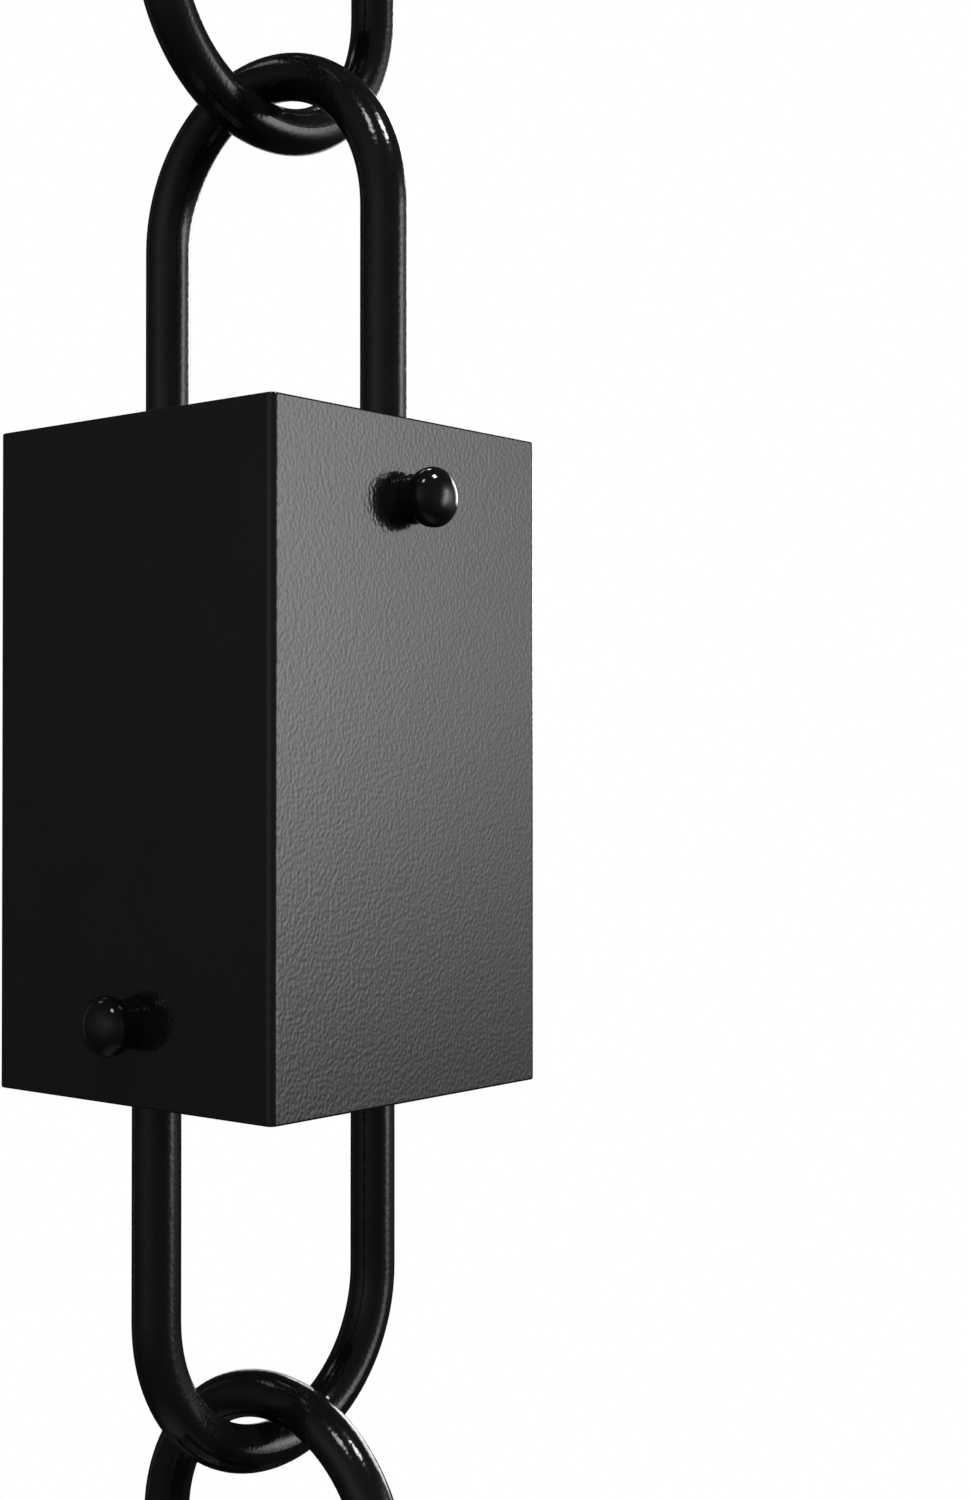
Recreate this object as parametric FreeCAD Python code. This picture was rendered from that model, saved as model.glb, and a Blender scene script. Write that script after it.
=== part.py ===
"""Rain chain of open square cups, each hung between two wire bails that hook into each other.

Millimetres. Z is up and the chain hangs along it. The origin is the hanging point: the underside
of the top bail's crown, in the middle of the rod. X is along the hinge ends of the upper bails,
Y along those of the lower bails.
"""
import FreeCAD, Part
import math
import os

# Number of cups, from the top of the chain to its free end
CUP_COUNT = 5

# Cup: a square tube open at both ends
CUP_WIDTH = 51.5            # across the outside faces
CUP_HEIGHT = 88.0
CUP_WALL = 1.2
CUP_CORNER_RADIUS = 1.0     # outside of the upright corners
RIM_ROUND = 0.3             # break of the rim's edges

# Bail: a round rod bent to a U, its two ends bent out through the cup's walls
ROD_DIAMETER = 6.35
BAIL_REACH = 59.5           # hinge axis to the crown, on the rod's centreline
HINGE_INSET = 10.45         # hinge axis from the nearer rim
LEG_CLEARANCE = 0.7         # straight leg to the cup's inside face
HOLE_CLEARANCE = 0.1        # rod end in the wall's hole, on the radius
HOOK_CLEARANCE = 0.3        # between two hooked crowns
ROD_END_CHAMFER = 0.5

# Domed cap on each rod end, outside the cup
CAP_DIAMETER = 7.8
CAP_NECK = 2.0              # bare rod between the cup's face and the cap
CAP_BACK = 1.45             # cap's open back to its widest circle
CAP_DOME = 2.55             # widest circle to the tip
CAP_BORE_CLEARANCE = 0.02   # on the radius and at the bottom
CAP_WALL = 0.45             # least thickness round the rod at the widest circle
CAP_LIP = 0.2               # thickness of the open back's edge

# Sizes that follow
ROD_RADIUS = ROD_DIAMETER / 2
HALF_WIDTH = CUP_WIDTH / 2
HALF_INSIDE = HALF_WIDTH - CUP_WALL
ELBOW_RADIUS = ROD_RADIUS + LEG_CLEARANCE
LEG_OFFSET = HALF_INSIDE - ELBOW_RADIUS
CAP_RADIUS = max(CAP_DIAMETER / 2, ROD_RADIUS + CAP_BORE_CLEARANCE + CAP_WALL)
CAP_BACK_RADIUS = ROD_RADIUS + CAP_BORE_CLEARANCE + min(CAP_LIP, 0.5 * CAP_WALL)
CAP_SEAT = HALF_WIDTH + CAP_NECK
ROD_END_DEPTH = CAP_BACK + 0.15 * CAP_DOME
HOOK_RISE = ROD_DIAMETER + HOOK_CLEARANCE

X_AXIS = FreeCAD.Vector(1, 0, 0)
Y_AXIS = FreeCAD.Vector(0, 1, 0)
Z_AXIS = FreeCAD.Vector(0, 0, 1)
ORIGIN = FreeCAD.Vector(0, 0, 0)


def at_height(edge, heights):
    """Whether every end of an edge lies at one of the given heights."""
    return all(any(abs(v.Z - h) < 1e-6 for h in heights) for v in edge.Vertexes)


def upright_edges(solid):
    """The edges that run along Z."""
    return [e for e in solid.Edges if abs(e.BoundBox.ZLength - e.Length) < 1e-6]


def square_post(width, radius, low, high):
    """A square post on the Z axis with rounded upright corners."""
    corner = FreeCAD.Vector(-width / 2, -width / 2, low)
    post = Part.makeBox(width, width, high - low, corner)
    return post.makeFillet(radius, upright_edges(post))


def cup():
    """One cup centred on the origin, with hinge holes in X faces above and in Y faces below."""
    half = CUP_HEIGHT / 2
    inner_radius = max(CUP_CORNER_RADIUS - CUP_WALL, 0.3)
    shell = square_post(CUP_WIDTH, CUP_CORNER_RADIUS, -half, half)
    shell = shell.cut(square_post(2 * HALF_INSIDE, inner_radius, -half - 1, half + 1))
    rims = [e for e in shell.Edges if at_height(e, (-half, half))]
    shell = shell.makeFillet(min(RIM_ROUND, 0.35 * CUP_WALL), rims)
    hole_radius = ROD_RADIUS + HOLE_CLEARANCE
    for axis, height in ((X_AXIS, half - HINGE_INSET), (Y_AXIS, HINGE_INSET - half)):
        start = axis * -CUP_WIDTH + Z_AXIS * height
        shell = shell.cut(Part.makeCylinder(hole_radius, 2 * CUP_WIDTH, start, axis))
    return shell


def bail():
    """One bail with its hinge axis on X through the origin and its crown at the top."""
    end = CAP_SEAT + ROD_END_DEPTH
    bend = LEG_OFFSET + ELBOW_RADIUS
    shoulder = BAIL_REACH - LEG_OFFSET
    bow = ELBOW_RADIUS * math.sqrt(0.5)

    def point(side, x, z):
        return FreeCAD.Vector(side * x, 0, z)

    def elbow(side):
        middle = point(side, bend - bow, ELBOW_RADIUS - bow)
        return Part.Arc(point(side, bend, 0), middle, point(side, LEG_OFFSET, ELBOW_RADIUS)).toShape()

    left_shoulder = point(-1, LEG_OFFSET, shoulder)
    right_shoulder = point(1, LEG_OFFSET, shoulder)
    line = [
        Part.makeLine(point(-1, end, 0), point(-1, bend, 0)),
        elbow(-1),
        Part.makeLine(point(-1, LEG_OFFSET, ELBOW_RADIUS), left_shoulder),
        Part.Arc(left_shoulder, point(1, 0, BAIL_REACH), right_shoulder).toShape(),
        Part.makeLine(right_shoulder, point(1, LEG_OFFSET, ELBOW_RADIUS)),
        elbow(1),
        Part.makeLine(point(1, bend, 0), point(1, end, 0)),
    ]
    section = Part.Wire(Part.makeCircle(ROD_RADIUS, point(-1, end, 0), X_AXIS))
    rod = Part.Wire(Part.__sortEdges__(line)).makePipeShell([section], True, False)
    tips = [e for e in rod.Edges if e.BoundBox.XLength < 1e-6 and abs(abs(e.BoundBox.XMin) - end) < 1e-6]
    return rod.makeChamfer(ROD_END_CHAMFER, tips)


def cap():
    """One cap on the X axis, in place on the rod end at positive X."""
    back = CAP_SEAT
    widest = back + CAP_BACK
    tip = widest + CAP_DOME
    inner = ROD_RADIUS + CAP_BORE_CLEARANCE
    floor = back + ROD_END_DEPTH + CAP_BORE_CLEARANCE

    def point(x, r):
        return FreeCAD.Vector(x, 0, r)

    def quarter(x_end, r_end):
        """Quarter of an ellipse from the widest circle to a given end, as a spline."""
        steps = [math.radians(90 * i / 8) for i in range(9)]
        spread = CAP_RADIUS - r_end
        curve = Part.BSplineCurve()
        curve.interpolate([
            point(widest + (x_end - widest) * math.sin(a), r_end + spread * math.cos(a)) for a in steps
        ])
        return curve.toShape()

    outline = [
        Part.makeLine(point(floor, 0), point(floor, inner)),
        Part.makeLine(point(floor, inner), point(back, inner)),
        Part.makeLine(point(back, inner), point(back, CAP_BACK_RADIUS)),
        quarter(back, CAP_BACK_RADIUS),
        quarter(tip, 0),
        Part.makeLine(point(tip, 0), point(floor, 0)),
    ]
    profile = Part.Face(Part.Wire(Part.__sortEdges__(outline)))
    return profile.revolve(ORIGIN, X_AXIS, 360)


def placed(shape, turns, height):
    """A copy turned about the given axes in order, then raised."""
    copy = shape.copy()
    for axis, degrees in turns:
        copy.rotate(ORIGIN, axis, degrees)
    copy.translate(Z_AXIS * height)
    return copy


def export(shape, name):
    """Writes one named piece."""
    shape.exportStep("parts/" + name + ".step")


os.makedirs("parts", exist_ok=True)
CUP = cup()
BAIL = bail()
CAP = cap()
OTHER_END = (Z_AXIS, 180)
HANG_DOWN = (X_AXIS, 180)
ACROSS = (Z_AXIS, 90)

crown = ROD_RADIUS
for number in range(1, CUP_COUNT + 1):
    upper_hinge = crown - BAIL_REACH
    middle = upper_hinge + HINGE_INSET - CUP_HEIGHT / 2
    lower_hinge = middle - CUP_HEIGHT / 2 + HINGE_INSET
    tag = str(number)
    export(placed(BAIL, [], upper_hinge), "upper_bail_" + tag)
    export(placed(CAP, [], upper_hinge), "upper_bail_cap_right_" + tag)
    export(placed(CAP, [OTHER_END], upper_hinge), "upper_bail_cap_left_" + tag)
    export(placed(CUP, [], middle), "cup_" + tag)
    export(placed(BAIL, [HANG_DOWN, ACROSS], lower_hinge), "lower_bail_" + tag)
    export(placed(CAP, [ACROSS], lower_hinge), "lower_bail_cap_back_" + tag)
    export(placed(CAP, [OTHER_END, ACROSS], lower_hinge), "lower_bail_cap_front_" + tag)
    crown = lower_hinge - BAIL_REACH + HOOK_RISE
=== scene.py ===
import math

import bpy
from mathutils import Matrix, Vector


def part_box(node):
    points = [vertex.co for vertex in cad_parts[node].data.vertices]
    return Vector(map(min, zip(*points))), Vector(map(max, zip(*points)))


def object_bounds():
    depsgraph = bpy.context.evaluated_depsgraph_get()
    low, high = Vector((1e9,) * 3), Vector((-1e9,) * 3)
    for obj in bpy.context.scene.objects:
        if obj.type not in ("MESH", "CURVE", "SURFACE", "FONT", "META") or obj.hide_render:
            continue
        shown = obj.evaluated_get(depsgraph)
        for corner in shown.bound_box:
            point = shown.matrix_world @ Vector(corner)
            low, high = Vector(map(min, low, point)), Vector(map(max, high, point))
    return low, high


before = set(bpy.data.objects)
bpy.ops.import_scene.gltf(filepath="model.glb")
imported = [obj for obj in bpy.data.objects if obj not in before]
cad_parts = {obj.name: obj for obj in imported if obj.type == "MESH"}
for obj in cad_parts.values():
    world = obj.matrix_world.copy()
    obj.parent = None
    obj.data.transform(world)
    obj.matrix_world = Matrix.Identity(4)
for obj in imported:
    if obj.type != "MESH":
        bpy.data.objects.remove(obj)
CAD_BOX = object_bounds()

scene = bpy.context.scene
scene.view_settings.view_transform = "Standard"

MM = 0.001
UP = Vector((0, 0, 1))

# Camera, fitted to the edges of the cup in the photograph
AIM_CUP = "cup_2"
VIEW_AZIMUTH = 39.06        # degrees; 0 looks along +Y
VIEW_DISTANCE = 287.9 * MM  # from the chain's axis to the camera, along the view
AXIS_LEFT = 29.27 * MM      # from the view's middle to the chain's axis, to the left
EYE_RISE = -1.37 * MM       # of the camera above the cup's middle
VIEW_UP = 0.548             # degrees that the camera looks up
FOCAL_PIXELS = 2110.0
FRAME_PIXELS = (971, 1500)
SENSOR = 36.0               # mm along the frame's longer side
CLIP_START = 10 * MM

# Floor
FLOOR_DROP = 0.09           # below the lowest bail
FLOOR_RADIUS = 0.60
FLOOR_SOLID = 0.15          # radius inside which the floor doesn't fade
FLOOR_SIDES = 64
FLOOR_GREY = 0.3
FLOOR_VEIL = 0.8            # share of plain white in what the camera sees of the floor
FLOOR_SHEEN = 0.08          # share of plain white in what the coats mirror of it

# Dim room that the coats mirror, brightest on the camera's side
ROOM_GLOW = 0.09
ROOM_GREY = 0.8             # colour of the room and of its lights
ROOM_BELOW = 0.75           # share of the glow that is left below
ROOM_HORIZON = (-0.25, 0.05)  # sines of the elevations between which it changes
ROOM_BEHIND = 0.4           # share of the glow that is left behind the object
ROOM_SIDES = (-0.3, 0.8)    # cosines of the angles from the camera's side between which it changes
PATCH_EDGE = 0.1            # cosine below which a light fades, so that it has no twin on the opposite side

# Bell-shaped lights: bearing, elevation, spread across and spread in height in degrees, brightness
SOFTBOXES = {
    "window": (90, 5.4, 6.0, 8.2, 3.7),
    "window_foot": (83.5, -5, 5.5, 6, 2.5),
    "window_head": (95, 14.5, 5.5, 3.2, 1.7),
    "window_wash": (101, 5.4, 11, 9.3, 1.88),
    "haze_past_window": (128, 5, 9, 10, 0.3),
    "haze_before_window": (68, -2, 12, 14, 0.14),
    "glow_front_left": (-37, 6.5, 25, 17, 0.31),
}

# Soft-edged panels: bearing, elevation, half width and half height in degrees, softness, brightness
PANELS = {
    "strip_behind": (157, 13, 22.5, 11, 0.05, 7.0),
    "strip_left": (-120, 5, 4, 24, 0.05, 0.10),
}
BACKDROP = (180, 4, 15, 13, 0.03)  # like a panel, and as white as the camera sees it

# Lamps above the object: bearing and elevation in degrees, radiance
LAMPS = {
    "lamp_back": (180, 67, 9.0),
    "lamp_right": (72, 56, 25.0),
    "lamp_front": (-9, 54, 11.0),
    "lamp_left": (-106, 50, 1.2),
}
LAMP_DISTANCE = 1.5
LAMP_SIZE = 0.30

# Coats; the peel and the grain are given by their width and depth in mm
COATS = {
    "cup": {"tone": 0.012, "index": 1.60, "roughness": 0.145, "peel": (0.47, 0.032), "grain": (0.15, 0.001)},
    "rod": {"tone": 0.010, "index": 1.50, "roughness": 0.14, "peel": (0.5, 0.025), "grain": (0.15, 0.001)},
    "cap": {"tone": 0.010, "index": 1.50, "roughness": 0.06, "peel": (2.0, 0.004), "grain": (0.4, 0.0008)},
}
PEEL_DRAWN = (1, 1, 0.85)   # scale of the peel's space: it is a little longer in height than across
CLOUD_WIDTH = 9             # mm; broad cloudiness of tone and gloss
CLOUD_RANGE = (0.3, 0.7)    # values of the noise between which tone and gloss change
TONE_SPREAD = 0.15          # share by which the tone rises and falls
GLOSS_SPREAD = 0.06         # share by which the roughness rises and falls

TURN = math.radians(VIEW_AZIMUTH)
RIGHT = Vector((math.cos(TURN), math.sin(TURN), 0))
AHEAD = Vector((-math.sin(TURN), math.cos(TURN), 0))


def bearing(right_deg, up_deg):
    """A direction by its bearing and elevation: bearing 0 is the camera's side, 90 the camera's right."""
    turn = math.radians(right_deg)
    lift = math.radians(up_deg)
    level = RIGHT * math.sin(turn) - AHEAD * math.cos(turn)
    return level * math.cos(lift) + UP * math.sin(lift)


def grey(level):
    """An opaque grey."""
    return (level, level, level, 1)


class Tree:
    """Short calls for building a node tree."""

    def __init__(self, tree):
        self.tree = tree
        tree.nodes.clear()

    def add(self, kind, settings=None, **sockets):
        """A new node with some of its settings, and values or links for some of its sockets."""
        node = self.tree.nodes.new("ShaderNode" + kind)
        for key, value in (settings or {}).items():
            setattr(node, key, value)
        for key, value in sockets.items():
            self.feed(node.inputs[key.replace("_", " ")], value)
        return node

    def feed(self, socket, value):
        """Links another node's output to a socket, or sets a constant on it."""
        if isinstance(value, bpy.types.NodeSocket):
            self.tree.links.new(value, socket)
        else:
            socket.default_value = value

    def math(self, operation, a, b=0.0):
        node = self.add("Math", {"operation": operation})
        self.feed(node.inputs[0], a)
        self.feed(node.inputs[1], b)
        return node.outputs[0]

    def vector(self, operation, a, b=(0, 0, 0)):
        node = self.add("VectorMath", {"operation": operation})
        self.feed(node.inputs[0], a)
        self.feed(node.inputs[1], b)
        return node

    def dot(self, vector, constant):
        return self.vector("DOT_PRODUCT", vector, constant).outputs["Value"]

    def ramp(self, value, low, high, to_low=0.0, to_high=1.0, kind="SMOOTHSTEP"):
        """The value taken from one range to another, and held at its ends."""
        node = self.add("MapRange", {"interpolation_type": kind}, Value=value,
                        From_Min=low, From_Max=high, To_Min=to_low, To_Max=to_high)
        return node.outputs["Result"]

    def noise(self, place, width_mm, detail, roughness):
        """Noise whose cells are about as wide as given."""
        node = self.add("TexNoise", Vector=place, Scale=1.0 / (width_mm * MM), Detail=detail,
                        Roughness=roughness)
        return node.outputs["Fac"]

    def mix(self, share, first, second):
        """The first shader where the share is 0, and the second where it is 1."""
        node = self.add("MixShader", Fac=share)
        self.feed(node.inputs[1], first.outputs[0])
        self.feed(node.inputs[2], second.outputs[0])
        return node

    def finish(self, kind, shader):
        """Adds the output node and links the shader to its surface."""
        self.feed(self.add(kind).inputs["Surface"], shader.outputs[0])


def new_material(name):
    """A material and its empty node tree."""
    material = bpy.data.materials.new(name)
    material.use_nodes = True
    return material, Tree(material.node_tree)


def middle_of(node):
    """The middle of a node's box."""
    low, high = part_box(node)
    return (Vector(low) + Vector(high)) / 2


def add_camera(middle):
    """The photograph's camera, almost level, looking at one cup from the corner."""
    data = bpy.data.cameras.new("camera")
    data.sensor_fit = "AUTO"
    data.sensor_width = SENSOR
    data.lens = FOCAL_PIXELS / max(FRAME_PIXELS) * SENSOR
    data.clip_start = CLIP_START
    eye = bpy.data.objects.new("camera", data)
    eye.location = middle + RIGHT * AXIS_LEFT - AHEAD * VIEW_DISTANCE + UP * EYE_RISE
    eye.rotation_euler = (math.pi / 2 + math.radians(VIEW_UP), 0, TURN)
    scene.collection.objects.link(eye)
    scene.camera = eye


def patch_axes(right_deg, up_deg):
    """The direction of a patch of the surroundings, and the directions across it and up it."""
    facing = bearing(right_deg, up_deg)
    across = UP.cross(facing).normalized()
    return facing, across, facing.cross(across)


def panel(tree, ray, right_deg, up_deg, half_wide, half_tall, soft):
    """A soft-edged rectangle of the surroundings, 1 inside and 0 outside."""
    facing, across, rise = patch_axes(right_deg, up_deg)
    mask = tree.ramp(tree.dot(ray, facing), 0.0, PATCH_EDGE)
    for axis, half in ((across, half_wide), (rise, half_tall)):
        reach = math.sin(math.radians(half))
        away = tree.math("ABSOLUTE", tree.dot(ray, axis))
        mask = tree.math("MULTIPLY", mask, tree.ramp(away, reach + soft, reach - soft))
    return mask


def softbox(tree, ray, right_deg, up_deg, wide, tall):
    """A spot of the surroundings that is 1 in the middle and falls off as a bell curve."""
    facing, across, rise = patch_axes(right_deg, up_deg)
    away = 0.0
    for axis, degrees in ((across, wide), (rise, tall)):
        part = tree.dot(ray, axis / (math.sqrt(2) * math.sin(math.radians(degrees))))
        away = tree.math("ADD", tree.math("MULTIPLY", part, part), away)
    bell = tree.math("EXPONENT", tree.math("MULTIPLY", away, -1.0))
    return tree.math("MULTIPLY", bell, tree.ramp(tree.dot(ray, facing), 0.0, PATCH_EDGE))


def seen_plainly(tree, path):
    """1 for a ray from the camera or through a clear body, and 0 for others."""
    return tree.math("MAXIMUM", path.outputs["Is Camera Ray"], path.outputs["Is Transmission Ray"])


def add_world():
    """White to the camera; to the object a dim room with a large soft window at the right."""
    world = bpy.data.worlds.new("studio")
    scene.world = world
    world.use_nodes = True
    tree = Tree(world.node_tree)
    ray = tree.add("TexCoord").outputs["Generated"]
    path = tree.add("LightPath")

    from_height = tree.ramp(tree.dot(ray, UP), *ROOM_HORIZON, ROOM_BELOW, 1.0)
    from_side = tree.ramp(tree.dot(ray, -AHEAD), *ROOM_SIDES, ROOM_BEHIND * ROOM_GLOW, ROOM_GLOW)
    glow = tree.math("MULTIPLY", from_height, from_side)
    for make, lights in ((softbox, SOFTBOXES), (panel, PANELS)):
        for *shape, bright in lights.values():
            patch = make(tree, ray, *shape)
            glow = tree.math("ADD", tree.math("MULTIPLY", patch, bright), glow)

    mirrored = tree.math("MULTIPLY", panel(tree, ray, *BACKDROP), path.outputs["Is Glossy Ray"])
    room = tree.add("Background", Strength=glow, Color=grey(ROOM_GREY))
    white = tree.add("Background", Strength=1.0, Color=grey(1))
    plain = tree.math("MAXIMUM", seen_plainly(tree, path), mirrored)
    tree.finish("OutputWorld", tree.mix(plain, room, white))


def add_lamp(name, target, direction, radiance):
    """A square soft lamp of a given radiance, facing the target and unseen by the camera."""
    data = bpy.data.lights.new(name, "AREA")
    data.shape = "SQUARE"
    data.size = LAMP_SIZE
    data.energy = radiance * math.pi * LAMP_SIZE * LAMP_SIZE
    lamp = bpy.data.objects.new(name, data)
    lamp.location = target + direction * LAMP_DISTANCE
    lamp.rotation_euler = direction.to_track_quat("Z", "Y").to_euler()
    lamp.visible_camera = False
    scene.collection.objects.link(lamp)


def floor_material():
    """Pale grey under a veil of white, fading to nothing towards the rim."""
    material, tree = new_material("floor")
    path = tree.add("LightPath")
    to_camera = tree.math("MULTIPLY", seen_plainly(tree, path), FLOOR_VEIL)
    to_coats = tree.math("MULTIPLY", path.outputs["Is Glossy Ray"], FLOOR_SHEEN)
    lit = tree.add("BsdfDiffuse", Color=grey(FLOOR_GREY))
    white = tree.add("Emission", Color=grey(1), Strength=1.0)
    veiled = tree.mix(tree.math("MAXIMUM", to_camera, to_coats), lit, white)
    reach = tree.vector("LENGTH", tree.add("TexCoord").outputs["Object"]).outputs["Value"]
    fade = tree.ramp(reach, FLOOR_SOLID, FLOOR_RADIUS)
    tree.finish("OutputMaterial", tree.mix(fade, veiled, tree.add("BsdfTransparent")))
    return material


def add_floor(lowest):
    """A pale round floor below the chain that fades into the white surroundings."""
    turns = [2 * math.pi * i / FLOOR_SIDES for i in range(FLOOR_SIDES)]
    ring = [(FLOOR_RADIUS * math.cos(turn), FLOOR_RADIUS * math.sin(turn), 0) for turn in turns]
    mesh = bpy.data.meshes.new("floor")
    mesh.from_pydata(ring, [], [list(range(FLOOR_SIDES))])
    mesh.materials.append(floor_material())
    floor = bpy.data.objects.new("floor", mesh)
    floor.location = (0, 0, lowest - FLOOR_DROP)
    scene.collection.objects.link(floor)


def spread(value, share):
    """The value less a share of itself, and the value plus that share."""
    return (1 - share) * value, (1 + share) * value


def coat(name, tone, index, roughness, peel, grain):
    """A black coat with an orange-peel relief and a finer grain, both in the piece's own space."""
    material, tree = new_material(name)
    place = tree.add("TexCoord").outputs["Object"]
    cloud = tree.noise(place, CLOUD_WIDTH, detail=3.0, roughness=0.55)
    dark, light = spread(tone, TONE_SPREAD)
    glossy, dull = spread(roughness, GLOSS_SPREAD)
    level = tree.ramp(cloud, *CLOUD_RANGE, dark, light, "LINEAR")
    gloss = tree.ramp(cloud, *CLOUD_RANGE, dull, glossy, "LINEAR")
    shade = tree.add("CombineColor", Red=level, Green=level, Blue=level)

    drawn = tree.vector("MULTIPLY", place, PEEL_DRAWN).outputs["Vector"]
    peel_width, peel_depth = peel
    grain_width, grain_depth = grain
    peel_height = tree.noise(drawn, peel_width, detail=0.5, roughness=0.45)
    grain_height = tree.noise(place, grain_width, detail=1.0, roughness=0.5)
    coarse = tree.add("Bump", Height=peel_height, Distance=peel_depth * MM, Strength=1.0)
    fine = tree.add("Bump", Height=grain_height, Distance=grain_depth * MM, Strength=1.0,
                    Normal=coarse.outputs["Normal"])
    shader = tree.add("BsdfPrincipled", Base_Color=shade.outputs["Color"], Roughness=gloss, IOR=index,
                      Normal=fine.outputs["Normal"])
    tree.finish("OutputMaterial", shader)
    return material


def dress(materials):
    """Gives each piece the coat of its kind."""
    for node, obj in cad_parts.items():
        kind = "cup" if node.startswith("cup") else "cap" if "_cap_" in node else "rod"
        obj.data.materials.clear()
        obj.data.materials.append(materials[kind])


cup_middle = middle_of(AIM_CUP)
add_camera(cup_middle)
add_world()
for name, (right_deg, up_deg, radiance) in LAMPS.items():
    add_lamp(name, cup_middle, bearing(right_deg, up_deg), radiance)
add_floor(CAD_BOX[0][2])
dress({kind: coat(kind + "_coat", **finish) for kind, finish in COATS.items()})
